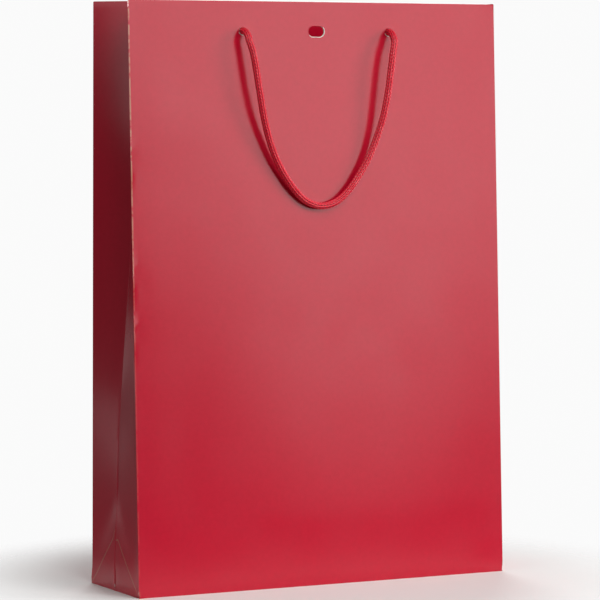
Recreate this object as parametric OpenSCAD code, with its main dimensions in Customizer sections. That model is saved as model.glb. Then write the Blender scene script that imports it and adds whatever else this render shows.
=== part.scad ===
// Laminated paper gift bag with two hanging cord handles.
// +Z is up, the front panel faces -Y, and the origin is the centre of the base on the table.

/* [Bag] */
// Width of the front and back panels
bag_w = 320; // [240:5:400]
// Depth of the base
bag_d = 90; // [75:5:130]
// Height from the table to the top edge
bag_h = 455; // [360:5:560]

/* [Lean of the panels] */
// How far the front panel's top edge leans in
front_lean = 18; // [6:1:22]
// How far the back panel's top edge leans in
back_lean = 6; // [4:1:12]
// How far the gusset's centre crease is folded in at the mouth
gusset_fold = 30; // [10:1:34]
// Height above which the gusset's centre crease goes in
fold_start = 110; // [70:5:160]

/* [Paper and card] */
// Thickness of the laminated paper
paper_t = 0.3; // [0.25:0.05:0.45]
// Thickness of the glue line between two layers
glue_gap = 0.05; // [0.03:0.01:0.08]
// Depth of the hem that is turned in round the mouth
hem_h = 50; // [42:1:70]
// Thickness of the card strip inside each hem
card_t = 0.5; // [0.4:0.1:1]
// Height of the card strip
card_h = 45; // [38:1:48]
// Space left at each end of the card strip
card_inset = 4; // [3:1:10]
// Width of the glue flap that closes the sheet
glue_flap_w = 18; // [12:1:25]

/* [Base] */
// Overlap of the front and back bottom flaps past the middle
flap_overlap = 12; // [8:1:25]
// Length of the flap below each gusset
end_flap_l = 50; // [35:1:60]
// Thickness of the loose base board
board_t = 1; // [0.8:0.1:2]
// Clearance all round the base board
board_gap = 1.5; // [1:0.5:3]
// Taper of each side of the flap below a gusset
end_flap_taper = 8; // [4:1:15]

/* [Holes and cords] */
// Diameter of the handle cord
cord_d = 5; // [4:0.5:6]
// Clearance across a cord hole
cord_hole_gap = 1; // [0.6:0.1:2]
// Distance between the two cord holes of a panel
hole_spacing = 128; // [120:2:140]
// Depth of the holes' centres below the top edge
hole_drop = 23; // [20:1:28]
// Diameter of the knot at each end of a cord
knot_d = 13; // [11:0.5:16]
// Width of the ribbon slot
slot_w = 14; // [10:1:20]
// Height of the ribbon slot
slot_h = 8.5; // [7:0.5:10]

/* [Hidden] */
$fn = 48;
PAPER_RED = "#c4122f";
CARD_GREY = "#b9b4aa";
PAPER_WHITE = "#f2efe9";
CORD_RED = "#c00d28";

// Layers, counted inwards from a panel's outer face
card_y = paper_t + glue_gap;
hem_y = card_y + card_t + glue_gap;
hem_inner_y = hem_y + paper_t;
// Heights of the stacked layers of the base
back_flap_z = paper_t;
end_flap_z = 2 * paper_t;
board_z = 3 * paper_t;
wall_z = board_z + glue_gap;
hem_side_inset = 3;
gusset_rows = 9;
// The most that a gusset folds in over one row of its hem, so the two layers stay parallel
fold_step = 1.45;
hem_rows = ceil(hem_h * gusset_fold / (bag_h - fold_start) / fold_step);

cord_hole_d = cord_d + cord_hole_gap;
// How far the holes' cutters pass each face of the layers
cut_margin = 2;
swing_gap = 0.3;
cord_sides = 8;

// Half of the handle as it hangs: across from the middle, out from the panel, down from the holes
HALF_LOOP = [
    [64, 10, 0], [63, 11, 7], [61.5, 12, 14], [60, 12.5, 22], [58.5, 12.5, 32], [57, 12.5, 42],
    [55, 12, 53], [52.5, 11, 65], [49, 9.5, 77], [45, 8, 88], [40, 7, 99], [34, 6, 110],
    [26, 5.5, 121], [17, 5, 130], [8.5, 5, 134.5], [0, 5, 136]
];
// The handle turns about a line as far outside the panel as its first point
pivot_out = HALF_LOOP[0][1];
loop_route = concat(
    [for (p = HALF_LOOP) [-p[0], p[1], p[2]]],
    [for (i = [len(HALF_LOOP) - 2 : -1 : 0]) HALF_LOOP[i]]
);

// Outer faces of the leaning panels and the gusset's crease at height z
function front_y(z) = -bag_d / 2 + front_lean * z / bag_h;
function back_y(z) = bag_d / 2 - back_lean * z / bag_h;
function crease_y(z) = (front_y(z) + back_y(z)) / 2;
function fold_in(z) = gusset_fold * max(0, z - fold_start) / (bag_h - fold_start);
function lean_angle(lean) = atan(lean / bag_h);
function panel_length(lean) = bag_h / cos(lean_angle(lean));

// Heights that the bent gussets are built at, the last ones being the hem's
hem_heights = [for (i = [0 : hem_rows]) bag_h - hem_h + hem_h * i / hem_rows];
gusset_heights = concat(
    [for (i = [0 : gusset_rows - 1]) wall_z + (bag_h - hem_h - wall_z) * i / gusset_rows],
    hem_heights
);

// How far in from the side a gusset layer lies, at height z and distance y across the bag
function gusset_in(z, y, layer) =
    fold_in(z) * (1 - abs(y - crease_y(z)) / (crease_y(z) - front_y(z)))
    + layer * (paper_t + glue_gap);

// One level of a gusset layer: across from y0 by way of ym to y1, and back along its inner face
function gusset_level(z, ys, layer) = concat(
    [for (y = ys) [-bag_w / 2 + gusset_in(z, y, layer), y, z]],
    [for (i = [len(ys) - 1 : -1 : 0]) [-bag_w / 2 + gusset_in(z, ys[i], layer) + paper_t, ys[i], z]]
);

function reversed(list) = [for (i = [len(list) - 1 : -1 : 0]) list[i]];
function unit(v) = v / norm(v);

// Direction of a route at point i
function route_way(route, i) =
    unit(route[min(i + 1, len(route) - 1)] - route[max(i - 1, 0)]);

// A ring of points round point i of a route
function cord_ring(route, i) =
    let (way = route_way(route, i), side = unit(cross([0, 1, 0], way)), out = cross(way, side))
    [for (k = [0 : cord_sides - 1])
        let (a = 360 * k / cord_sides)
        route[i] + cord_d / 2 * (cos(a) * side + sin(a) * out)];

// Closed solid through a stack of closed outlines with the same even number of points.
// Point i and point n - 1 - i face each other across the sheet or the cord. The two halves of an outline
// are split along the same diagonals, so a bent sheet keeps its thickness.
module skin(levels) {
    n = len(levels[0]);
    last = len(levels) - 1;
    cap = [for (i = [0 : n / 2 - 2]) [i, i + 1, n - 2 - i, n - 1 - i]];
    sides = [for (r = [0 : last - 1], i = [0 : n - 1])
        let (a = r * n + i, b = r * n + (i + 1) % n)
        each i < n / 2 ? [[a, a + n, b + n], [a, b + n, b]] : [[a, a + n, b], [b, a + n, b + n]]];
    polyhedron(
        points = [for (level = levels) each level],
        faces = concat(cap, sides, [for (face = cap) [for (i = reversed(face)) last * n + i]]),
        convexity = 4
    );
}

// Frame of the front panel: its outer face is y = 0, and z runs up the panel from the base
module on_front() {
    translate([0, -bag_d / 2, 0]) rotate([-lean_angle(front_lean), 0, 0]) children();
}

module on_back() {
    mirror([0, 1, 0]) translate([0, -bag_d / 2, 0]) rotate([-lean_angle(back_lean), 0, 0]) children();
}

// A flat layer on a panel, from y to y + t and from z0 to z1
module layer(w, y, t, z0, z1) {
    translate([-w / 2, y, z0]) cube([w, t, z1 - z0]);
}

// The cuts that go through every layer below the top edge of a panel
module top_holes(top) {
    through = hem_inner_y + 2 * cut_margin;
    translate([0, -cut_margin, top - hole_drop]) rotate([-90, 0, 0]) {
        for (side = [-1, 1])
            translate([side * hole_spacing / 2, 0, 0]) cylinder(d = cord_hole_d, h = through);
        linear_extrude(height = through) {
            square([slot_w - slot_h, slot_h], center = true);
            for (side = [-1, 1])
                translate([side * (slot_w - slot_h) / 2, 0]) circle(d = slot_h);
        }
    }
}

module panel(lean) {
    difference() {
        layer(bag_w, 0, paper_t, wall_z, panel_length(lean));
        top_holes(panel_length(lean));
    }
}

module hem(lean) {
    difference() {
        layer(bag_w - 2 * hem_side_inset, hem_y, paper_t, panel_length(lean) - hem_h, panel_length(lean));
        top_holes(panel_length(lean));
    }
}

module card_strip(lean) {
    top = panel_length(lean) - glue_gap;
    difference() {
        layer(bag_w - 2 * card_inset, card_y, card_t, top - card_h, top);
        top_holes(panel_length(lean));
    }
}

// Half of a gusset, from its panel to its centre crease
module gusset_half(front) {
    edge = paper_t + glue_gap;
    levels = [for (z = gusset_heights)
        let (mid = crease_y(z))
        gusset_level(z, front ? [front_y(z) + edge, mid - glue_gap / 2]
                              : [mid + glue_gap / 2, back_y(z) - edge], 0)];
    skin([for (level = levels) reversed(level)]);
}

// The hem turned in over a whole gusset
module gusset_hem() {
    edge = hem_inner_y + glue_gap;
    levels = [for (z = hem_heights)
        gusset_level(z, [front_y(z) + edge, crease_y(z), back_y(z) - edge], 1)];
    skin([for (level = levels) reversed(level)]);
}

// The flap of the sheet that is glued inside the back panel, at its left side
module glue_flap_strip() {
    on_back() translate([-bag_w / 2 + hem_side_inset, card_y, wall_z + hem_side_inset])
        cube([glue_flap_w, paper_t, panel_length(back_lean) - hem_h - wall_z - 2 * hem_side_inset]);
}

// A bottom flap that runs the whole width, from the edge at -Y to past the middle
module long_bottom_flap(z) {
    translate([-bag_w / 2, -bag_d / 2, z]) cube([bag_w, bag_d / 2 + flap_overlap, paper_t]);
}

module end_bottom_flap() {
    translate([-bag_w / 2, 0, end_flap_z]) linear_extrude(height = paper_t)
        polygon([[0, -bag_d / 2], [end_flap_l, -bag_d / 2 + end_flap_taper],
                 [end_flap_l, bag_d / 2 - end_flap_taper], [0, bag_d / 2]]);
}

// Where a cord comes through a panel: its knot inside, and the cord as far as the handle's pivot
module cord_end(lean, side) {
    tip = pivot_out - cord_d / 2 - swing_gap;
    translate([side * hole_spacing / 2, 0, panel_length(lean) - hole_drop]) {
        translate([0, -tip, 0]) rotate([-90, 0, 0]) cylinder(d = cord_d, h = tip + hem_inner_y + knot_d / 2);
        translate([0, hem_inner_y + knot_d / 2, 0]) sphere(d = knot_d);
    }
}

// The hanging part of the handle, between the two pivots
module handle_loop(lean) {
    top = panel_length(lean) - hole_drop;
    spread = hole_spacing / 2 - HALF_LOOP[0][0];
    route = [for (p = loop_route) [p[0] + sign(p[0]) * spread, -p[1], top - p[2]]];
    skin([for (i = [0 : len(route) - 1]) cord_ring(route, i)]);
}

module front_panel() { color(PAPER_RED) on_front() panel(front_lean); }
module back_panel() { color(PAPER_RED) on_back() panel(back_lean); }
module left_gusset_front_half() { color(PAPER_RED) gusset_half(true); }
module left_gusset_back_half() { color(PAPER_RED) gusset_half(false); }
module right_gusset_front_half() { color(PAPER_RED) mirror([1, 0, 0]) gusset_half(true); }
module right_gusset_back_half() { color(PAPER_RED) mirror([1, 0, 0]) gusset_half(false); }
module front_hem() { color(PAPER_RED) on_front() hem(front_lean); }
module back_hem() { color(PAPER_RED) on_back() hem(back_lean); }
module left_gusset_hem() { color(PAPER_RED) gusset_hem(); }
module right_gusset_hem() { color(PAPER_RED) mirror([1, 0, 0]) gusset_hem(); }
module front_card_strip() { color(CARD_GREY) on_front() card_strip(front_lean); }
module back_card_strip() { color(CARD_GREY) on_back() card_strip(back_lean); }
module glue_flap() { color(PAPER_WHITE) glue_flap_strip(); }
module front_bottom_flap() { color(PAPER_RED) long_bottom_flap(0); }
module back_bottom_flap() { color(PAPER_RED) mirror([0, 1, 0]) long_bottom_flap(back_flap_z); }
module left_bottom_flap() { color(PAPER_RED) end_bottom_flap(); }
module right_bottom_flap() { color(PAPER_RED) mirror([1, 0, 0]) end_bottom_flap(); }

module base_board() {
    inset = paper_t + board_gap;
    back_inset = inset + card_y;
    front_inset = inset + front_lean * (board_z + board_t) / bag_h;
    color(CARD_GREY)
        translate([-bag_w / 2 + inset, -bag_d / 2 + front_inset, board_z])
            cube([bag_w - 2 * inset, bag_d - front_inset - back_inset, board_t]);
}

module front_left_cord_end() { color(CORD_RED) on_front() cord_end(front_lean, -1); }
module front_right_cord_end() { color(CORD_RED) on_front() cord_end(front_lean, 1); }
module back_left_cord_end() { color(CORD_RED) on_back() cord_end(back_lean, -1); }
module back_right_cord_end() { color(CORD_RED) on_back() cord_end(back_lean, 1); }
module front_handle() { color(CORD_RED) on_front() handle_loop(front_lean); }
module back_handle() { color(CORD_RED) on_back() handle_loop(back_lean); }

front_panel();
back_panel();
left_gusset_front_half();
left_gusset_back_half();
right_gusset_front_half();
right_gusset_back_half();
front_hem();
back_hem();
left_gusset_hem();
right_gusset_hem();
front_card_strip();
back_card_strip();
glue_flap();
front_bottom_flap();
back_bottom_flap();
left_bottom_flap();
right_bottom_flap();
base_board();
front_left_cord_end();
front_right_cord_end();
back_left_cord_end();
back_right_cord_end();
front_handle();
back_handle();
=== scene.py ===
"""Laminated paper gift bag with two knitted cord handles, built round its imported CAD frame."""

import math

import bmesh
import bpy
from bpy.props import FloatProperty, FloatVectorProperty, IntProperty, PointerProperty
from mathutils import Matrix, Vector, noise


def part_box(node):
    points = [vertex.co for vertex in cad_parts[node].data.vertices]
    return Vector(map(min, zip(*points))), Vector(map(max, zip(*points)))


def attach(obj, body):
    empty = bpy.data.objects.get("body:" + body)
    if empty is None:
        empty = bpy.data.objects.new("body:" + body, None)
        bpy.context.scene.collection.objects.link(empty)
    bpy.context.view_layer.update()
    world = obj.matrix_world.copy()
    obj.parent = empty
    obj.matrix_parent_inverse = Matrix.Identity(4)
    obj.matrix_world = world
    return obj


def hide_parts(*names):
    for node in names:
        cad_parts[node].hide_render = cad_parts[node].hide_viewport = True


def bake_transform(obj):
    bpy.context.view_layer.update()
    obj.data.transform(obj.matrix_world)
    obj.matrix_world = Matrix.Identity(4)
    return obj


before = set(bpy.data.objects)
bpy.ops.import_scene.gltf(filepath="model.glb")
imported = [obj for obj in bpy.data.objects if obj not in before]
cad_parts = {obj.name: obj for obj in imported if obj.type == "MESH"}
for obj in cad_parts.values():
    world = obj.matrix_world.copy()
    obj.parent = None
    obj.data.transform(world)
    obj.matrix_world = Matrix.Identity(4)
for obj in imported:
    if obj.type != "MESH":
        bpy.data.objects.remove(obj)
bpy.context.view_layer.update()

bl_info = {
    "name": "Gift bag",
    "version": (1, 0, 0),
    "blender": (4, 5, 0),
    "location": "View3D > Sidebar > Gift bag",
    "description": "Folded glossy paper bag with knitted cord handles",
    "category": "Object",
}

MM = 0.001


def linear(hex_colour):
    """An sRGB hex colour as linear red, green and blue."""
    parts = [int(hex_colour[i : i + 2], 16) / 255 for i in (1, 3, 5)]
    return [p / 12.92 if p <= 0.04045 else ((p + 0.055) / 1.055) ** 2.4 for p in parts]


# Half of a handle as it hangs: across from the middle, out from the panel, down from the holes
HALF_LOOP = [
    (0.0615, 0.0120, 0.016),
    (0.0600, 0.0125, 0.024),
    (0.0585, 0.0125, 0.033),
    (0.0570, 0.0125, 0.043),
    (0.0550, 0.0120, 0.054),
    (0.0525, 0.0110, 0.066),
    (0.0490, 0.0095, 0.078),
    (0.0450, 0.0080, 0.089),
    (0.0400, 0.0070, 0.100),
    (0.0340, 0.0060, 0.110),
    (0.0260, 0.0055, 0.121),
    (0.0170, 0.0050, 0.130),
    (0.0085, 0.0050, 0.1345),
    (0.0, 0.0050, 0.136),
]

PAPER_LAYER = 0.3 * MM
# Spacing of the sheet's grid, bevel of its folds, and the fold angle from which shading is crisp
SHEET_GRID = 5 * MM
FOLD_BEVEL = 0.3 * MM
CRISP_ANGLE = math.radians(9)
# Width of the ring that a punch leaves
PUNCH_RING = 0.5 * MM
# Shape of a gusset: soft start of the fold, pinch of its crease and swell at its foot
FOLD_SOFTNESS = 35 * MM
CREASE_PINCH = 1.8 * MM
FOOT_SWELL = 0.8 * MM
PANEL_WAVE = 0.3 * MM
# The crowns of the stitches stand this much past the nominal diameter of a handle's cord
CROWN_GROWTH = 0.6 * MM
HANDLE_STEP, HANDLE_SIDES = 0.3 * MM, 60
KNOT_STEP, KNOT_SIDES = 0.5 * MM, 40
# Camera: angles round and above the bag, distance, focal length and upward shift of the frame
CAMERA_TURN = math.radians(-27)
CAMERA_DIP = math.radians(3.5)
CAMERA_DISTANCE = 2.576
CAMERA_LENS = 195.4
CAMERA_SHIFT = -0.013333
FRONT_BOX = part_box("front_panel")
BACK_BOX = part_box("back_panel")
BASE_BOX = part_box("front_bottom_flap")
BAG_NODES = [
    "front_panel",
    "back_panel",
    "left_gusset_front_half",
    "left_gusset_back_half",
    "right_gusset_front_half",
    "right_gusset_back_half",
    "front_hem",
    "back_hem",
    "left_gusset_hem",
    "right_gusset_hem",
]


class GiftBagPaper(bpy.types.PropertyGroup):
    """Sizes of the folded sheet"""

    width: FloatProperty(
        name="Width",
        description="Width of the front and back panels",
        default=FRONT_BOX[1].x - FRONT_BOX[0].x,
        unit="LENGTH",
    )
    depth: FloatProperty(
        name="Depth",
        description="Depth of the base",
        default=-2 * BASE_BOX[0].y,
        unit="LENGTH",
    )
    height: FloatProperty(
        name="Height",
        description="Height of the top edge",
        default=FRONT_BOX[1].z,
        unit="LENGTH",
    )
    front_lean: FloatProperty(
        name="Front lean",
        description="How far the front panel's top edge leans in",
        default=FRONT_BOX[1].y - PAPER_LAYER - BASE_BOX[0].y,
        unit="LENGTH",
    )
    back_lean: FloatProperty(
        name="Back lean",
        description="How far the back panel's top edge leans in",
        default=-BASE_BOX[0].y - BACK_BOX[0].y - PAPER_LAYER,
        unit="LENGTH",
    )
    thickness: FloatProperty(
        name="Paper thickness",
        description="Thickness of the laminated paper",
        default=PAPER_LAYER,
        unit="LENGTH",
    )
    fold: FloatProperty(
        name="Gusset fold",
        description="How far the gusset's centre crease is folded in at the mouth",
        default=30 * MM,
        unit="LENGTH",
    )
    fold_start: FloatProperty(
        name="Fold start",
        description="Height above which the gusset folds in",
        default=110 * MM,
        unit="LENGTH",
    )
    hem: FloatProperty(
        name="Hem",
        description="Depth of the hem that is turned in round the mouth",
        default=50 * MM,
        unit="LENGTH",
    )
    panel_turn: FloatProperty(
        name="Panel turn",
        description="Depth of the turned edge over the card strip",
        default=1.2 * MM,
        unit="LENGTH",
    )
    gusset_turn: FloatProperty(
        name="Gusset turn",
        description="Depth of the turned edge where there is no card",
        default=0.65 * MM,
        unit="LENGTH",
    )
    billow: FloatProperty(
        name="Billow",
        description="How far a panel swells out at its middle",
        default=1.4 * MM,
        unit="LENGTH",
    )
    dent: FloatProperty(
        name="Dents",
        description="Depth of the knocks along the near edge",
        default=0.18 * MM,
        unit="LENGTH",
    )
    hole: FloatProperty(
        name="Cord hole",
        description="Diameter of a cord hole",
        default=6 * MM,
        unit="LENGTH",
    )
    hole_spacing: FloatProperty(
        name="Hole spacing",
        description="Distance between a panel's cord holes",
        default=128 * MM,
        unit="LENGTH",
    )
    hole_drop: FloatProperty(
        name="Hole drop",
        description="Depth of the holes below the top edge",
        default=23 * MM,
        unit="LENGTH",
    )
    slot_width: FloatProperty(
        name="Slot width",
        description="Width of the ribbon slot",
        default=14 * MM,
        unit="LENGTH",
    )
    slot_height: FloatProperty(
        name="Slot height",
        description="Height of the ribbon slot",
        default=8.5 * MM,
        unit="LENGTH",
    )


class GiftBagCord(bpy.types.PropertyGroup):
    """Sizes of the knitted cord and its knots"""

    diameter: FloatProperty(
        name="Diameter",
        description="Diameter of the cord",
        default=5 * MM,
        unit="LENGTH",
    )
    bend: FloatProperty(
        name="Bend",
        description="Radius of the bend outside a hole",
        default=11.5 * MM,
        unit="LENGTH",
    )
    stitch: FloatProperty(
        name="Stitch",
        description="Length of one knitted stitch",
        default=2.7 * MM,
        unit="LENGTH",
    )
    stitch_depth: FloatProperty(
        name="Stitch depth",
        description="Depth of the gaps between stitches",
        default=0.9 * MM,
        unit="LENGTH",
    )
    columns: IntProperty(
        name="Columns",
        description="Columns of stitches round the cord",
        default=4,
        min=3,
        max=12,
    )
    knot: FloatProperty(
        name="Knot",
        description="Width of the knot inside a hole",
        default=13 * MM,
        unit="LENGTH",
    )
    tail: FloatProperty(
        name="Tail",
        description="Length of the end that hangs from a knot",
        default=14 * MM,
        unit="LENGTH",
    )


def colour_property(name, description, hex_colour):
    return FloatVectorProperty(
        name=name,
        description=description,
        default=linear(hex_colour),
        subtype="COLOR",
        size=3,
        min=0,
        max=1,
    )


class GiftBagColours(bpy.types.PropertyGroup):
    """Colours of the papers, board and cord"""

    print_red: colour_property("Red", "Printed face of the paper", "#c20a2c")
    deep_red: colour_property("Deep red", "Darker mottling of the print", "#b20727")
    # The pale tan line on the near edge is a painted highlight on its rounded fold. The same colour
    # at half strength is the worn print of the gusset's diagonal creases.
    crease_wear_and_edge_highlight: colour_property("Crease wear and edge highlight", "Rubbed print along a crease, and painted highlight along the near edge", "#b9836c")
    bare_paper: colour_property("Paper", "Unprinted side of the paper", "#f3efe8")
    paper_fibre: colour_property("Paper fibre", "Shade between the fibres", "#e3ddd2")
    grey_board: colour_property("Board", "Recycled grey board", "#b1aba0")
    board_speck: colour_property("Board fleck", "Dark fibres in the board", "#7c766c")
    cord_red: colour_property("Cord", "Red yarn of the cord", "#e21433")
    # Painted light on the cord: the crowns of the stitches are lightened as painted glints, and the
    # gaps between them are darkened as painted shade
    cord_glint: colour_property("Cord glints", "Crowns of the stitches", "#f27d84")
    cord_gap: colour_property("Cord gaps", "Shaded gaps between stitches", "#5c0412")
    floor: colour_property("Floor", "Plain studio floor", "#f2f1ef")


class GiftBagStudio(bpy.types.PropertyGroup):
    """Strength of the studio lights"""

    key: FloatProperty(
        name="Key", description="Large softbox at the front right", default=16, unit="POWER"
    )
    side: FloatProperty(
        name="Side", description="Small softbox far round to the right", default=40, unit="POWER"
    )
    top: FloatProperty(
        name="Top", description="Wide softbox above the front", default=43, unit="POWER"
    )
    left: FloatProperty(
        name="Left", description="Fill light on the left", default=6, unit="POWER"
    )
    card: FloatProperty(
        name="Card", description="Low bounce card at the back left", default=0.6, unit="POWER"
    )
    behind: FloatProperty(
        name="Behind", description="Fill light behind the bag", default=30, unit="POWER"
    )
    room: FloatProperty(name="Room", description="Light from the room", default=0.11)


# ---------------------------------------------------------------- nodes and finishes


def add_node(tree, kind, settings=None, values=None, links=None):
    """Adds a node with its settings, its input values and its links."""
    node = tree.nodes.new(kind)
    for name, value in (settings or {}).items():
        setattr(node, name, value)
    for name, value in (values or {}).items():
        node.inputs[name].default_value = value
    for name, source in (links or {}).items():
        tree.links.new(source, node.inputs[name])
    return node


def rgba(colour):
    return (*colour, 1.0)


def new_finish(name):
    """An empty finish and the two nodes that every finish has."""
    finish = bpy.data.materials.new(name)
    finish.use_nodes = True
    tree = finish.node_tree
    tree.nodes.clear()
    surface = add_node(tree, "ShaderNodeBsdfPrincipled")
    add_node(
        tree,
        "ShaderNodeOutputMaterial",
        links={"Surface": surface.outputs["BSDF"]},
    )
    return finish, tree, surface


def laminated_red_paper(colours, paper):
    """Offset-printed art paper under a gloss film.

    It gives a deep colour, a soft highlight, worn diagonal creases and a painted highlight along
    the near edge."""
    finish, tree, surface = new_finish("laminated_red_paper")
    place = add_node(tree, "ShaderNodeTexCoord").outputs["Object"]
    flat = add_node(tree, "ShaderNodeUVMap", {"uv_map": "flat_sheet"}).outputs["UV"]
    across = add_node(tree, "ShaderNodeSeparateXYZ", links={0: flat})
    # The print mottles over about 4 mm
    mottle = add_node(
        tree,
        "ShaderNodeTexNoise",
        values={"Scale": 250, "Detail": 4, "Roughness": 0.6},
        links={"Vector": place},
    )
    printed = add_node(
        tree,
        "ShaderNodeMix",
        {"data_type": "RGBA"},
        {6: rgba(colours.print_red), 7: rgba(colours.deep_red)},
        {0: mottle.outputs["Fac"]},
    )
    # The pattern of creases repeats after one gusset and one panel
    repeat = paper.depth + paper.width
    around = add_node(
        tree,
        "ShaderNodeMath",
        {"operation": "FLOORED_MODULO"},
        {1: repeat},
        {0: across.outputs["X"]},
    )
    from_far_side = add_node(
        tree, "ShaderNodeMath", {"operation": "SUBTRACT"}, {0: paper.depth}, {1: around.outputs[0]}
    )
    into_gusset = add_node(
        tree,
        "ShaderNodeMath",
        {"operation": "MINIMUM"},
        links={0: around.outputs[0], 1: from_far_side.outputs[0]},
    )
    off_diagonal = add_node(
        tree,
        "ShaderNodeMath",
        {"operation": "SUBTRACT"},
        links={0: across.outputs["Y"], 1: into_gusset.outputs[0]},
    )
    diagonal_gap = add_node(
        tree, "ShaderNodeMath", {"operation": "ABSOLUTE"}, links={0: off_diagonal.outputs[0]}
    )
    diagonal_line = add_node(
        tree,
        "ShaderNodeMapRange",
        {"interpolation_type": "SMOOTHSTEP"},
        {"From Min": 0.25 * MM, "From Max": 1.1 * MM, "To Min": 0.5, "To Max": 0.0},
        {"Value": diagonal_gap.outputs[0]},
    )
    in_gusset = add_node(
        tree,
        "ShaderNodeMath",
        {"operation": "GREATER_THAN"},
        {1: 1 * MM},
        {0: into_gusset.outputs[0]},
    )
    diagonal = add_node(
        tree,
        "ShaderNodeMath",
        {"operation": "MULTIPLY"},
        links={0: diagonal_line.outputs[0], 1: in_gusset.outputs[0]},
    )
    edge_gap = add_node(
        tree,
        "ShaderNodeMath",
        {"operation": "COMPARE"},
        {1: paper.depth, 2: 0.9 * MM},
        {0: across.outputs["X"]},
    )
    # The painted highlight on the near edge's rounded fold fades out below the middle, and is
    # broken every few millimetres
    upper = add_node(
        tree,
        "ShaderNodeMapRange",
        {"interpolation_type": "SMOOTHSTEP"},
        {"From Min": 0.16, "From Max": 0.34, "To Min": 0.15, "To Max": 0.8},
        {"Value": across.outputs["Y"]},
    )
    broken = add_node(
        tree,
        "ShaderNodeTexNoise",
        values={"Scale": 120, "Detail": 3, "Roughness": 0.65},
        links={"Vector": place},
    )
    patches = add_node(
        tree,
        "ShaderNodeMapRange",
        {"interpolation_type": "SMOOTHSTEP"},
        {"From Min": 0.36, "From Max": 0.56},
        {"Value": broken.outputs["Fac"]},
    )
    edge_highlight_patches = add_node(
        tree,
        "ShaderNodeMath",
        {"operation": "MULTIPLY"},
        links={0: upper.outputs[0], 1: patches.outputs[0]},
    )
    edge = add_node(
        tree,
        "ShaderNodeMath",
        {"operation": "MULTIPLY"},
        links={0: edge_highlight_patches.outputs[0], 1: edge_gap.outputs[0]},
    )
    # The tan colour takes the stronger of the painted edge highlight and the worn diagonal creases
    wear_and_highlight_mask = add_node(
        tree,
        "ShaderNodeMath",
        {"operation": "MAXIMUM"},
        links={0: edge.outputs[0], 1: diagonal.outputs[0]},
    )
    colour = add_node(
        tree,
        "ShaderNodeMix",
        {"data_type": "RGBA"},
        {7: rgba(colours.crease_wear_and_edge_highlight)},
        {0: wear_and_highlight_mask.outputs[0], 6: printed.outputs[2]},
    )
    tree.links.new(colour.outputs[2], surface.inputs["Base Color"])
    # The film is hazier in patches about 40 mm wide
    haze = add_node(
        tree,
        "ShaderNodeTexNoise",
        values={"Scale": 25, "Detail": 2, "Roughness": 0.5},
        links={"Vector": place},
    )
    roughness = add_node(
        tree,
        "ShaderNodeMapRange",
        values={"From Min": 0.3, "From Max": 0.7, "To Min": 0.18, "To Max": 0.23},
        links={"Value": haze.outputs["Fac"]},
    )
    tree.links.new(roughness.outputs[0], surface.inputs["Roughness"])
    # Fibres print through the film about 0.9 mm apart
    peel = add_node(
        tree,
        "ShaderNodeTexNoise",
        values={"Scale": 1100, "Detail": 2, "Roughness": 0.5},
        links={"Vector": place},
    )
    bump = add_node(
        tree,
        "ShaderNodeBump",
        values={"Strength": 0.25, "Distance": 0.02 * MM},
        links={"Height": peel.outputs["Fac"]},
    )
    tree.links.new(bump.outputs[0], surface.inputs["Normal"])
    surface.inputs["IOR"].default_value = 1.5
    return finish


def uncoated_paper(colours):
    """Uncoated wood-free paper: off-white and matt, with a fine fibrous tooth."""
    finish, tree, surface = new_finish("uncoated_paper")
    place = add_node(tree, "ShaderNodeTexCoord").outputs["Object"]
    # Fibre clumps are about 1.5 mm across
    clumps = add_node(
        tree,
        "ShaderNodeTexNoise",
        values={"Scale": 650, "Detail": 5, "Roughness": 0.65},
        links={"Vector": place},
    )
    colour = add_node(
        tree,
        "ShaderNodeMix",
        {"data_type": "RGBA"},
        {6: rgba(colours.bare_paper), 7: rgba(colours.paper_fibre)},
        {0: clumps.outputs["Fac"]},
    )
    tree.links.new(colour.outputs[2], surface.inputs["Base Color"])
    bump = add_node(
        tree,
        "ShaderNodeBump",
        values={"Strength": 0.4, "Distance": 0.05 * MM},
        links={"Height": clumps.outputs["Fac"]},
    )
    tree.links.new(bump.outputs[0], surface.inputs["Normal"])
    surface.inputs["Roughness"].default_value = 0.85
    surface.inputs["IOR"].default_value = 1.45
    return finish


def recycled_grey_board(colours):
    """Pressed recycled grey board: matt and warm grey, with dark and light fibre flecks."""
    finish, tree, surface = new_finish("recycled_grey_board")
    place = add_node(tree, "ShaderNodeTexCoord").outputs["Object"]
    # Flecks are about 2 mm long, three times as long as they are wide
    stretched = add_node(
        tree,
        "ShaderNodeMapping",
        values={"Scale": (500, 1500, 1500)},
        links={"Vector": place},
    )
    flecks = add_node(
        tree,
        "ShaderNodeTexNoise",
        values={"Scale": 1, "Detail": 3, "Roughness": 0.7},
        links={"Vector": stretched.outputs[0]},
    )
    chosen = add_node(
        tree,
        "ShaderNodeMapRange",
        {"interpolation_type": "SMOOTHSTEP"},
        {"From Min": 0.52, "From Max": 0.72},
        {"Value": flecks.outputs["Fac"]},
    )
    colour = add_node(
        tree,
        "ShaderNodeMix",
        {"data_type": "RGBA"},
        {6: rgba(colours.grey_board), 7: rgba(colours.board_speck)},
        {0: chosen.outputs[0]},
    )
    tree.links.new(colour.outputs[2], surface.inputs["Base Color"])
    bump = add_node(
        tree,
        "ShaderNodeBump",
        values={"Strength": 0.5, "Distance": 0.08 * MM},
        links={"Height": flecks.outputs["Fac"]},
    )
    tree.links.new(bump.outputs[0], surface.inputs["Normal"])
    surface.inputs["Roughness"].default_value = 0.9
    surface.inputs["IOR"].default_value = 1.45
    return finish


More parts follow.
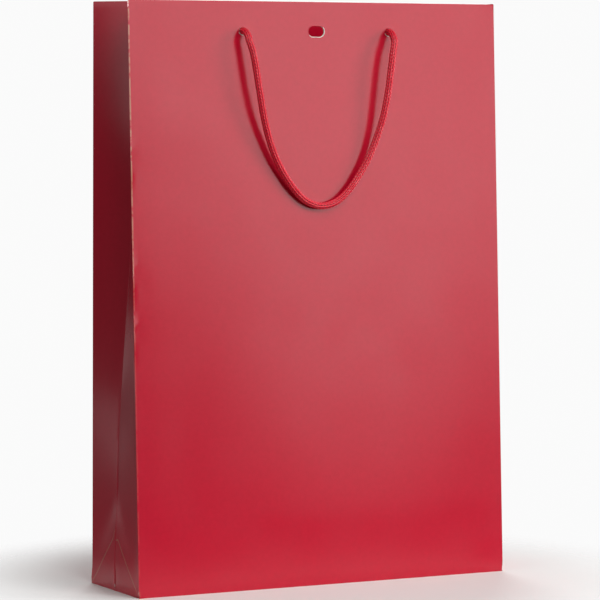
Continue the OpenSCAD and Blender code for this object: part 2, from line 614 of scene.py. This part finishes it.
def knitted_polypropylene(colours):
    """Knitted polypropylene yarn: bright satin stitches with painted glints on their crowns, and
    painted shade in the gaps between them.
    """
    finish, tree, surface = new_finish("knitted_polypropylene")
    height = add_node(tree, "ShaderNodeAttribute", {"attribute_name": "stitch_height"})
    # The gaps between stitches are painted dark, as shade
    shade = add_node(
        tree,
        "ShaderNodeMapRange",
        {"interpolation_type": "SMOOTHSTEP"},
        {"From Min": 0.12, "From Max": 0.5},
        {"Value": height.outputs["Fac"]},
    )
    yarn = add_node(
        tree,
        "ShaderNodeMix",
        {"data_type": "RGBA"},
        {6: rgba(colours.cord_gap), 7: rgba(colours.cord_red)},
        {0: shade.outputs[0]},
    )
    # The crowns of the stitches are painted pink, as glints
    crown = add_node(
        tree,
        "ShaderNodeMapRange",
        {"interpolation_type": "SMOOTHSTEP"},
        {"From Min": 0.86, "From Max": 1.0, "To Min": 0.0, "To Max": 0.55},
        {"Value": height.outputs["Fac"]},
    )
    colour = add_node(
        tree,
        "ShaderNodeMix",
        {"data_type": "RGBA"},
        {7: rgba(colours.cord_glint)},
        {0: crown.outputs[0], 6: yarn.outputs[2]},
    )
    tree.links.new(colour.outputs[2], surface.inputs["Base Color"])
    # Filaments are drawn at 0.15 mm, since the real 0.03 mm ones are too fine to show
    place = add_node(tree, "ShaderNodeUVMap", {"uv_map": "round_cord"}).outputs["UV"]
    filaments = add_node(
        tree,
        "ShaderNodeMapping",
        values={"Scale": (6600, 900, 1)},
        links={"Vector": place},
    )
    grain = add_node(
        tree,
        "ShaderNodeTexNoise",
        values={"Scale": 1, "Detail": 2, "Roughness": 0.5},
        links={"Vector": filaments.outputs[0]},
    )
    bump = add_node(
        tree,
        "ShaderNodeBump",
        values={"Strength": 0.5, "Distance": 0.04 * MM},
        links={"Height": grain.outputs["Fac"]},
    )
    tree.links.new(bump.outputs[0], surface.inputs["Normal"])
    surface.inputs["Roughness"].default_value = 0.3
    surface.inputs["IOR"].default_value = 1.49
    return finish


def finish_named(name, make, *facts):
    """The finish of that name, made once and shared by the pieces that have it."""
    return bpy.data.materials.get(name) or make(*facts)


# ---------------------------------------------------------------- shapes


def smoothed(value):
    """0 to 1 with soft ends."""
    value = min(max(value, 0.0), 1.0)
    return value * value * (3 - 2 * value)


def finished_piece(name, bm, finishes):
    """Turns a bmesh into an object at the origin with its finishes."""
    mesh = bpy.data.meshes.new(name)
    bm.to_mesh(mesh)
    bm.free()
    for finish in finishes:
        mesh.materials.append(finish)
    mesh.shade_smooth()
    piece = bpy.data.objects.new(name, mesh)
    bpy.context.scene.collection.objects.link(piece)
    return piece


class FoldedSheet:
    """Where each point of the flat sheet goes when the bag is folded.

    u runs along the flat sheet from the back left corner, and v runs up it from the base."""

    def __init__(self, paper):
        self.paper = paper
        self.turn = paper.panel_turn / 2
        self.v_turn = paper.height - self.turn
        self.v_down = self.v_turn + math.pi * self.turn
        self.v_end = self.v_down + paper.hem - self.turn

    def front_y(self, z):
        return -self.paper.depth / 2 + self.paper.front_lean * z / self.paper.height

    def back_y(self, z):
        return self.paper.depth / 2 - self.paper.back_lean * z / self.paper.height

    def fold_in(self, z):
        """Depth of the gusset's centre crease, with a soft start."""
        soft = FOLD_SOFTNESS
        rise = z - self.paper.fold_start
        top = self.paper.height - self.paper.fold_start
        ramp = (rise + math.hypot(rise, soft)) / 2
        return self.paper.fold * ramp / ((top + math.hypot(top, soft)) / 2)

    def height_and_turn(self, v):
        """Height of v, and how far round the top edge it has turned, from 0 to pi."""
        if v <= self.v_turn:
            return v, 0.0
        if v <= self.v_down:
            turned = (v - self.v_turn) / self.turn
            return self.v_turn + self.turn * math.sin(turned), turned
        return self.v_turn - (v - self.v_down), math.pi

    def billow_out(self, share, z, seed):
        """How far a panel stands out at a share of its width and a height."""
        paper = self.paper
        calm = smoothed((paper.height - paper.hem - z) / (60 * MM)) * smoothed(z / (60 * MM))
        swell = math.sin(math.pi * share) * math.sin(math.pi * z / paper.height)
        wave = noise.noise(Vector((share * 3.0 + seed, z * 9.0, seed)))
        held = smoothed(min(share, 1 - share) / 0.15)
        return calm * (paper.billow * swell + PANEL_WAVE * wave * held)

    def place(self, u, v):
        paper = self.paper
        z, turned = self.height_and_turn(v)
        round_over = (1 - math.cos(turned)) / 2
        face_in = paper.panel_turn * round_over
        side_in = paper.gusset_turn * round_over
        # The bottom fold is rounded
        if v < 0.5 * MM:
            face_in = 0.4 * MM
            side_in = 0.4 * MM
        front = self.front_y(z) + face_in
        back = self.back_y(z) - face_in
        crease = (self.front_y(z) + self.back_y(z)) / 2
        half = paper.width / 2
        if u < paper.depth or paper.depth + paper.width < u < 2 * paper.depth + paper.width:
            left = u < paper.depth
            along = u if left else u - paper.depth - paper.width
            share = along / paper.depth
            y = back + (front - back) * share if left else front + (back - front) * share
            tent = 1 - abs(y - crease) / (crease - self.front_y(z))
            above = z - min(along, paper.depth - along)
            pinch = CREASE_PINCH * smoothed(above / (32 * MM)) * tent
            belly = FOOT_SWELL * math.sin(math.pi * share) * smoothed((45 * MM - z) / (30 * MM))
            x = half - side_in - self.fold_in(z) * tent - pinch + belly
            return Vector((-x if left else x, y, z))
        # The hem's panels end where its gussets begin
        side_in += self.fold_in(z) * face_in / (crease - self.front_y(z))
        if u <= paper.depth + paper.width:
            share = (u - paper.depth) / paper.width
            y = front - self.billow_out(share, z, 1.7)
            x = -half + side_in + (paper.width - 2 * side_in) * share
        else:
            share = (u - 2 * paper.depth - paper.width) / paper.width
            y = back + self.billow_out(share, z, 5.3)
            x = half - side_in - (paper.width - 2 * side_in) * share
        return Vector((x, y, z))

    def knocked(self, point, u):
        """Small knocks along the near edge, and the spread corner at the back left."""
        paper = self.paper
        moved = point.copy()
        near = math.exp(-(((u - paper.depth) / (11 * MM)) ** 2))
        for share in (0.72, 0.53, 0.43):
            knock = math.exp(-(((point.z - share * paper.height) / (10 * MM)) ** 2))
            moved += Vector((0.7, 0.7, 0)) * paper.dent * knock * near
        spread = math.exp(-(min(u, 2 * (paper.depth + paper.width) - u) / (8 * MM)) ** 2)
        spread *= math.exp(-((point.z / (9 * MM)) ** 2))
        moved += Vector((-0.7, 0.7, 0)) * 1.2 * MM * spread
        return moved


def punch(bm, middle, radius, stretch, window):
    """Punches a round or long hole through the flat sheet."""

    def within(verts):
        return all(
            abs(vert.co.x - middle[0]) < window[0] and abs(vert.co.y - middle[1]) < window[1]
            for vert in verts
        )

    cells = [face for face in bm.faces if within(face.verts)]
    bmesh.ops.delete(bm, geom=cells, context="FACES")
    rim = [edge for edge in bm.edges if edge.is_boundary and within(edge.verts)]
    made = bmesh.ops.create_circle(
        bm,
        cap_ends=False,
        radius=radius + PUNCH_RING,
        segments=32,
        matrix=Matrix.Translation((*middle, 0)),
    )
    for vert in made["verts"]:
        vert.co.x += math.copysign(stretch, vert.co.x - middle[0])
    circle = list({edge for vert in made["verts"] for edge in vert.link_edges})
    bmesh.ops.bridge_loops(bm, edges=rim + circle)
    # Along the lower right of the cut the ring gets the bare white paper that a punch leaves. It is
    # shown on this side only, as a painted highlight on the cut edge.
    grown = bmesh.ops.extrude_edge_only(bm, edges=circle)["geom"]
    for vert in grown:
        if isinstance(vert, bmesh.types.BMVert):
            spot = Vector((middle[0] + math.copysign(stretch, vert.co.x - middle[0]), middle[1], 0))
            vert.co = spot + (vert.co - spot) * (radius / (radius + PUNCH_RING))
    for face in grown:
        if isinstance(face, bmesh.types.BMFace):
            off = face.calc_center_median() - Vector((*middle, 0))
            face.material_index = 1 if 0.5 * off.x - off.y > 0 else 0


def add_creases(bm, paper, start):
    """Cuts the two 45 degree creases of a gusset into the flat sheet."""
    half = paper.depth / 2
    for middle, lean in ((start + half / 2, 1), (start + half * 1.5, -1)):
        nearby = [f for f in bm.faces if abs(f.calc_center_median().x - middle) < half / 2]
        nearby = [f for f in nearby if f.calc_center_median().y < half + 1 * MM]
        geometry = set(nearby)
        for face in nearby:
            geometry.update(face.edges)
            geometry.update(face.verts)
        corner = start if lean > 0 else start + paper.depth
        bmesh.ops.bisect_plane(
            bm,
            geom=list(geometry),
            dist=0.1 * MM,
            plane_co=(corner, 0, 0),
            plane_no=(-lean, 1, 0),
        )


def put_in_order(bm):
    """Sorts a mesh by place, because operators can give new parts in a different order each run."""
    places = {vert: i for i, vert in enumerate(sorted(bm.verts, key=lambda vert: tuple(vert.co)))}
    bm.verts.sort(key=places.get)
    bm.verts.index_update()
    for parts in (bm.edges, bm.faces):
        corners = {part: sorted(vert.index for vert in part.verts) for part in parts}
        ranks = {part: i for i, part in enumerate(sorted(parts, key=corners.get))}
        parts.sort(key=ranks.get)
        parts.index_update()


def fold_the_sheet(paper):
    """The flat sheet with its holes and creases, folded into the bag."""
    folding = FoldedSheet(paper)
    around = 2 * (paper.depth + paper.width)
    columns = round(around / SHEET_GRID)
    wall_rows = round(paper.height / SHEET_GRID)
    hem_rows = round(paper.hem / SHEET_GRID)
    turn_rows = 6
    rows = [folding.v_turn * i / wall_rows for i in range(wall_rows + 1)]
    rows += [
        folding.v_turn + math.pi * folding.turn * (i + 1) / turn_rows for i in range(turn_rows)
    ]
    rows += [
        folding.v_down + (folding.v_end - folding.v_down) * (i + 1) / hem_rows
        for i in range(hem_rows)
    ]
    bm = bmesh.new()
    bmesh.ops.create_grid(bm, x_segments=columns, y_segments=len(rows) - 1, size=0.5)
    for vert in bm.verts:
        column = round((vert.co.x + 0.5) * columns)
        row = round((vert.co.y + 0.5) * (len(rows) - 1))
        vert.co = Vector((around * column / columns, rows[row], 0))
    for start in (0.0, paper.depth + paper.width):
        add_creases(bm, paper, start)
    for middle, lean in (
        (paper.depth + paper.width / 2, paper.front_lean),
        (2 * paper.depth + 1.5 * paper.width, paper.back_lean),
    ):
        height = paper.height - paper.hole_drop * math.cos(math.atan(lean / paper.height))
        for level in (height, folding.v_down + folding.v_turn - height):
            for side in (-1, 1):
                centre = (middle + side * paper.hole_spacing / 2, level)
                punch(bm, centre, paper.hole / 2, 0, (9 * MM, 9 * MM))
            stretch = (paper.slot_width - paper.slot_height) / 2
            punch(bm, (middle, level), paper.slot_height / 2, stretch, (14 * MM, 9 * MM))
    for face in bm.faces:
        face.normal_update()
        if face.normal.z < 0:
            face.normal_flip()
    flat = bm.loops.layers.uv.new("flat_sheet")
    for face in bm.faces:
        for loop in face.loops:
            loop[flat].uv = loop.vert.co.xy
    panel_folds = [paper.depth, paper.depth + paper.width, 2 * paper.depth + paper.width]
    gusset_folds = [paper.depth / 2, 1.5 * paper.depth + paper.width]
    creases = [
        edge
        for edge in bm.edges
        if any(
            all(abs(vert.co.x - fold) < 0.01 * MM for vert in edge.verts)
            for fold in panel_folds + gusset_folds
        )
    ]
    for vert in bm.verts:
        u = vert.co.x
        vert.co = folding.knocked(folding.place(u, vert.co.y), u)
    bmesh.ops.bevel(
        bm,
        geom=creases,
        offset=FOLD_BEVEL,
        affect="EDGES",
        segments=2,
        profile=0.5,
        material=-1,
    )
    bmesh.ops.remove_doubles(bm, verts=bm.verts, dist=0.005 * MM)
    # A fold and a cut edge stay crisp, and everything else is shaded as one curved sheet
    for edge in bm.edges:
        edge.smooth = not (edge.is_boundary or edge.calc_face_angle(0) > CRISP_ANGLE)
    put_in_order(bm)
    return bm


def follow(route, step):
    """Points at even steps along a smooth curve through a route."""
    dense = []
    for i in range(len(route) - 1):
        before = route[max(i - 1, 0)]
        a, b = route[i], route[i + 1]
        after = route[min(i + 2, len(route) - 1)]
        for k in range(24):
            t = k / 24
            dense.append(
                0.5
                * (
                    2 * a
                    + (b - before) * t
                    + (2 * before - 5 * a + 4 * b - after) * t * t
                    + (3 * a - before - 3 * b + after) * t * t * t
                )
            )
    dense.append(route[-1])
    run = [0.0]
    for i in range(1, len(dense)):
        run.append(run[-1] + (dense[i] - dense[i - 1]).length)
    count = round(run[-1] / step)
    points = []
    at = 0
    for i in range(count + 1):
        wanted = run[-1] * i / count
        while at < len(run) - 2 and run[at + 1] < wanted:
            at += 1
        share = (wanted - run[at]) / max(run[at + 1] - run[at], 1e-12)
        points.append(dense[at].lerp(dense[at + 1], share))
    return points, run[-1]


def stitch_height(cord, turn, run):
    """Height of the V stitches, from 0 in the gaps to 1 on the yarn."""
    leg = abs(2 * ((turn * cord.columns) % 1.0) - 1)
    across = math.sin(math.pi * leg) ** 0.6
    along = abs(math.sin(math.pi * (run / cord.stitch - 0.9 * leg))) ** 0.7
    return across * (0.25 + 0.75 * along)


def knit_round(cord, centres, length, sides, thickness):
    """A knitted tube wrapped from a grid round a line of points."""
    last = len(centres) - 1
    bm = bmesh.new()
    bmesh.ops.create_grid(bm, x_segments=sides, y_segments=last, size=0.5)
    unrolled = bm.loops.layers.uv.new("round_cord")
    girth = math.pi * cord.diameter
    for face in bm.faces:
        for loop in face.loops:
            co = loop.vert.co
            loop[unrolled].uv = ((co.x + 0.5) * girth, (co.y + 0.5) * length)
    ways = []
    for i in range(last + 1):
        ways.append((centres[min(i + 1, last)] - centres[max(i - 1, 0)]).normalized())
    side = Vector((1, 0, 0))
    if abs(side.dot(ways[0])) > 0.9:
        side = Vector((0, 0, 1))
    frames = []
    for way in ways:
        side = (side - way * side.dot(way)).normalized()
        frames.append((side.copy(), way.cross(side)))
    high = bm.verts.layers.float.new("stitch_height")
    for vert in bm.verts:
        turn = round((vert.co.x + 0.5) * sides) / sides
        row = round((vert.co.y + 0.5) * last)
        height = stitch_height(cord, turn, length * row / last)
        vert[high] = height
        radius = thickness / 2 - cord.stitch_depth * (1 - height)
        angle = 2 * math.pi * turn
        a, b = frames[row]
        vert.co = centres[row] + radius * (math.cos(angle) * a + math.sin(angle) * b)
    bmesh.ops.remove_doubles(bm, verts=bm.verts, dist=0.002 * MM)
    bmesh.ops.holes_fill(bm, edges=[e for e in bm.edges if e.is_boundary], sides=0)
    return bm


class Panel:
    """A leaning panel's own frame: across it, out from it and down from its holes."""

    def __init__(self, paper, front):
        self.sign = -1 if front else 1
        self.lean = math.atan((paper.front_lean if front else paper.back_lean) / paper.height)
        self.length = paper.height / math.cos(self.lean)
        self.paper = paper

    def point(self, across, out, down):
        up = self.length - self.paper.hole_drop - down
        inward = -out * math.cos(self.lean) + up * math.sin(self.lean)
        z = out * math.sin(self.lean) + up * math.cos(self.lean)
        return Vector((across, self.sign * (self.paper.depth / 2 - inward), z))


def handle_route(panel, paper, cord):
    """From knot to knot: straight out through a hole, round a bend and down the hanging loop."""
    inside = paper.panel_turn + cord.knot / 2
    edge = paper.hole_spacing / 2
    half = [(edge, -inside, 0), (edge, -inside / 2, 0), (edge, -2 * MM, 0), (edge, -1 * MM, 0)]
    for degrees in (15, 30, 45, 60, 75):
        angle = math.radians(degrees)
        out = cord.bend * math.sin(angle) - 0.4 * MM
        down = cord.bend * (1 - math.cos(angle))
        half.append((edge - 0.5 * MM * degrees / 75, out, down))
    half += HALF_LOOP
    left = [(-a, out, down) for a, out, down in half]
    right = [(a, out, down) for a, out, down in reversed(half[:-1])]
    return [panel.point(*p) for p in left + right]


def knot_route(panel, paper, cord, side):
    """An overhand knot pulled tight against the hem, with its tail hanging down."""
    reach = 1.45 * MM
    swell = 2.9 * MM
    middle = -(paper.panel_turn + cord.knot / 2)
    points = []
    for i in range(31):
        angle = 0.55 + (2 * math.pi - 0.95) * i / 30
        across = reach * (math.sin(angle) + 2 * math.sin(2 * angle))
        down = reach * (math.cos(angle) - 2 * math.cos(2 * angle))
        out = middle - swell * math.sin(3 * angle)
        points.append(panel.point(side * (paper.hole_spacing / 2 + across), out, down))
    end_across = reach * (math.sin(angle) + 2 * math.sin(2 * angle))
    for share in (0.4, 0.7, 1.0):
        points.append(
            panel.point(
                side * (paper.hole_spacing / 2 + end_across - 3 * MM * share),
                middle - 2.5 * MM - 2 * MM * share,
                down + cord.tail * share,
            )
        )
    return points


# ---------------------------------------------------------------- operators


class GIFTBAG_OT_stage(bpy.types.Operator):
    """Camera, floor, soft lights and a pale room"""

    bl_idname = "gift_bag.stage"
    bl_label = "Stage"

    def execute(self, context):
        studio = context.scene.gift_bag_studio
        colours = context.scene.gift_bag_colours
        aim = Vector((0, 0, 0.227))
        level = math.cos(CAMERA_DIP)
        back = Vector(
            (math.sin(CAMERA_TURN) * level, -math.cos(CAMERA_TURN) * level, math.sin(CAMERA_DIP))
        )
        lens = bpy.data.cameras.new("studio_camera")
        lens.lens = CAMERA_LENS
        lens.sensor_width = 36
        lens.shift_y = CAMERA_SHIFT
        camera = bpy.data.objects.new("studio_camera", lens)
        context.scene.collection.objects.link(camera)
        camera.location = aim + back * CAMERA_DISTANCE
        camera.rotation_euler = (-back).to_track_quat("-Z", "Y").to_euler()
        context.scene.camera = camera
        bag = (0, 0, 0.2)
        # The highlight on the front panel fades out where the key's lower end is reflected
        place = (1.12, -2.5, 0.93)
        self.add_softbox("key_softbox", place, (1.12, 0, 0.93), (1.9, 1.0), studio.key, -53)
        self.add_softbox("side_softbox", (2.4, -1.6, 0.7), bag, (0.8, 0.8), studio.side, 0)
        self.add_softbox("top_softbox", (0.3, -1.9, 2.1), bag, (2.2, 1.6), studio.top, 0)
        self.add_softbox("left_fill", (-2.0, -0.5, 1.1), bag, (1.2, 1.2), studio.left, 0)
        foot = (-0.16, 0, 0.08)
        self.add_softbox("left_card", (-1.3, 2.2, 0.08), foot, (1.0, 0.4), studio.card, 0)
        self.add_softbox("back_fill", (0.9, 2.2, 1.4), bag, (1.4, 1.0), studio.behind, 0)
        self.add_floor(colours)
        self.add_room(context, studio)
        context.scene.view_settings.view_transform = "Standard"
        return {"FINISHED"}

    def add_softbox(self, name, place, target, size, power, turn):
        light = bpy.data.lights.new(name, "AREA")
        light.shape = "RECTANGLE"
        light.size, light.size_y = size
        light.energy = power
        box = bpy.data.objects.new(name, light)
        bpy.context.scene.collection.objects.link(box)
        box.location = place
        box.visible_camera = False
        aim = (Vector(target) - Vector(place)).to_track_quat("-Z", "Y")
        box.rotation_euler = (
            aim.to_matrix() @ Matrix.Rotation(math.radians(turn), 3, "Z")
        ).to_euler()

    def add_floor(self, colours):
        bm = bmesh.new()
        bmesh.ops.create_circle(bm, cap_ends=True, radius=0.9, segments=96)
        finish, tree, surface = new_finish("matt_studio_floor")
        surface.inputs["Roughness"].default_value = 0.9
        surface.inputs["Base Color"].default_value = rgba(colours.floor)
        place = add_node(tree, "ShaderNodeTexCoord").outputs["Object"]
        away = add_node(tree, "ShaderNodeVectorMath", {"operation": "LENGTH"}, links={0: place})
        fade = add_node(
            tree,
            "ShaderNodeMapRange",
            {"interpolation_type": "SMOOTHSTEP"},
            {"From Min": 0.16, "From Max": 0.32, "To Min": 1.0, "To Max": 0.0},
            {"Value": away.outputs["Value"]},
        )
        tree.links.new(fade.outputs[0], surface.inputs["Alpha"])
        floor = finished_piece("pale_floor", bm, [finish])

    def add_room(self, context, studio):
        world = bpy.data.worlds.new("pale_room")
        context.scene.world = world
        world.use_nodes = True
        tree = world.node_tree
        tree.nodes.clear()
        seen = add_node(tree, "ShaderNodeLightPath")
        backdrop = add_node(
            tree, "ShaderNodeBackground", values={"Color": (1, 1, 1, 1), "Strength": 0.96}
        )
        light = add_node(
            tree, "ShaderNodeBackground", values={"Color": (1, 1, 1, 1), "Strength": studio.room}
        )
        both = add_node(
            tree,
            "ShaderNodeMixShader",
            links={
                0: seen.outputs["Is Camera Ray"],
                1: light.outputs[0],
                2: backdrop.outputs[0],
            },
        )
        add_node(tree, "ShaderNodeOutputWorld", links={"Surface": both.outputs[0]})


class GIFTBAG_OT_cords(bpy.types.Operator):
    """Both cord handles with the knots at their ends"""

    bl_idname = "gift_bag.cords"
    bl_label = "Cord handles and knots"

    def execute(self, context):
        paper = context.scene.gift_bag_paper
        cord = context.scene.gift_bag_cord
        yarn = finish_named(
            "knitted_polypropylene", knitted_polypropylene, context.scene.gift_bag_colours
        )
        for face in ("front", "back"):
            panel = Panel(paper, face == "front")
            for word, side in (("left", -1), ("right", 1)):
                centres, length = follow(knot_route(panel, paper, cord, side), KNOT_STEP)
                bm = knit_round(cord, centres, length, KNOT_SIDES, cord.diameter)
                knot = finished_piece(f"{face}_{word}_knot", bm, [yarn])
                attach(knot, "bag")
                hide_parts(f"{face}_{word}_cord_end")
            route, length = follow(handle_route(panel, paper, cord), HANDLE_STEP)
            thickness = cord.diameter + CROWN_GROWTH
            bm = knit_round(cord, route, length, HANDLE_SIDES, thickness)
            handle = finished_piece(f"{face}_cord", bm, [yarn])
            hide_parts(f"{face}_handle")
            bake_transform(handle)
        return {"FINISHED"}


class GIFTBAG_OT_sheet(bpy.types.Operator):
    """The folded sheet: panels, gussets and turned-in hem"""

    bl_idname = "gift_bag.sheet"
    bl_label = "Folded paper sheet"

    def execute(self, context):
        paper = context.scene.gift_bag_paper
        colours = context.scene.gift_bag_colours
        outside = finish_named("laminated_red_paper", laminated_red_paper, colours, paper)
        inside = finish_named("uncoated_paper", uncoated_paper, colours)
        sheet = finished_piece("folded_paper_sheet", fold_the_sheet(paper), [outside, inside])
        wall = sheet.modifiers.new("paper_thickness", "SOLIDIFY")
        wall.thickness = paper.thickness
        wall.offset = -1
        wall.material_offset = 1
        wall.material_offset_rim = 1
        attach(sheet, "bag")
        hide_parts(*BAG_NODES)
        return {"FINISHED"}


class GIFTBAG_OT_base_and_card(bpy.types.Operator):
    """Finishes of the bottom flaps, glue flap, card strips and base board"""

    bl_idname = "gift_bag.base_and_card"
    bl_label = "Base, glue flap and card"

    def execute(self, context):
        paper = context.scene.gift_bag_paper
        colours = context.scene.gift_bag_colours
        red = finish_named("laminated_red_paper", laminated_red_paper, colours, paper)
        white = finish_named("uncoated_paper", uncoated_paper, colours)
        board = finish_named("recycled_grey_board", recycled_grey_board, colours)
        finishes = {
            "front_bottom_flap": red,
            "back_bottom_flap": red,
            "left_bottom_flap": red,
            "right_bottom_flap": red,
            "glue_flap": white,
            "front_card_strip": board,
            "back_card_strip": board,
            "base_board": board,
        }
        for name, finish in finishes.items():
            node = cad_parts[name]
            node.data.materials.clear()
            node.data.materials.append(finish)
        return {"FINISHED"}


class GIFTBAG_PT_sidebar(bpy.types.Panel):
    """Lists the steps that build the gift bag"""

    bl_idname = "GIFTBAG_PT_sidebar"
    bl_label = "Gift bag"
    bl_space_type = "VIEW_3D"
    bl_region_type = "UI"
    bl_category = "Gift bag"

    def draw(self, context):
        for step in STEPS:
            self.layout.operator(step.bl_idname)


STEPS = [GIFTBAG_OT_stage, GIFTBAG_OT_cords, GIFTBAG_OT_sheet, GIFTBAG_OT_base_and_card]
SETTINGS = {
    "gift_bag_paper": GiftBagPaper,
    "gift_bag_cord": GiftBagCord,
    "gift_bag_colours": GiftBagColours,
    "gift_bag_studio": GiftBagStudio,
}


def register():
    for group in SETTINGS.values():
        bpy.utils.register_class(group)
    for step in [*STEPS, GIFTBAG_PT_sidebar]:
        bpy.utils.register_class(step)
    for name, group in SETTINGS.items():
        setattr(bpy.types.Scene, name, PointerProperty(type=group))


def unregister():
    for name in SETTINGS:
        delattr(bpy.types.Scene, name)
    for step in [GIFTBAG_PT_sidebar, *reversed(STEPS)]:
        bpy.utils.unregister_class(step)
    for group in SETTINGS.values():
        bpy.utils.unregister_class(group)


def main():
    register()
    bpy.ops.gift_bag.stage()
    bpy.ops.gift_bag.cords()
    bpy.ops.gift_bag.sheet()
    bpy.ops.gift_bag.base_and_card()
    bpy.context.view_layer.update()


if __name__ == "__main__":
    main()
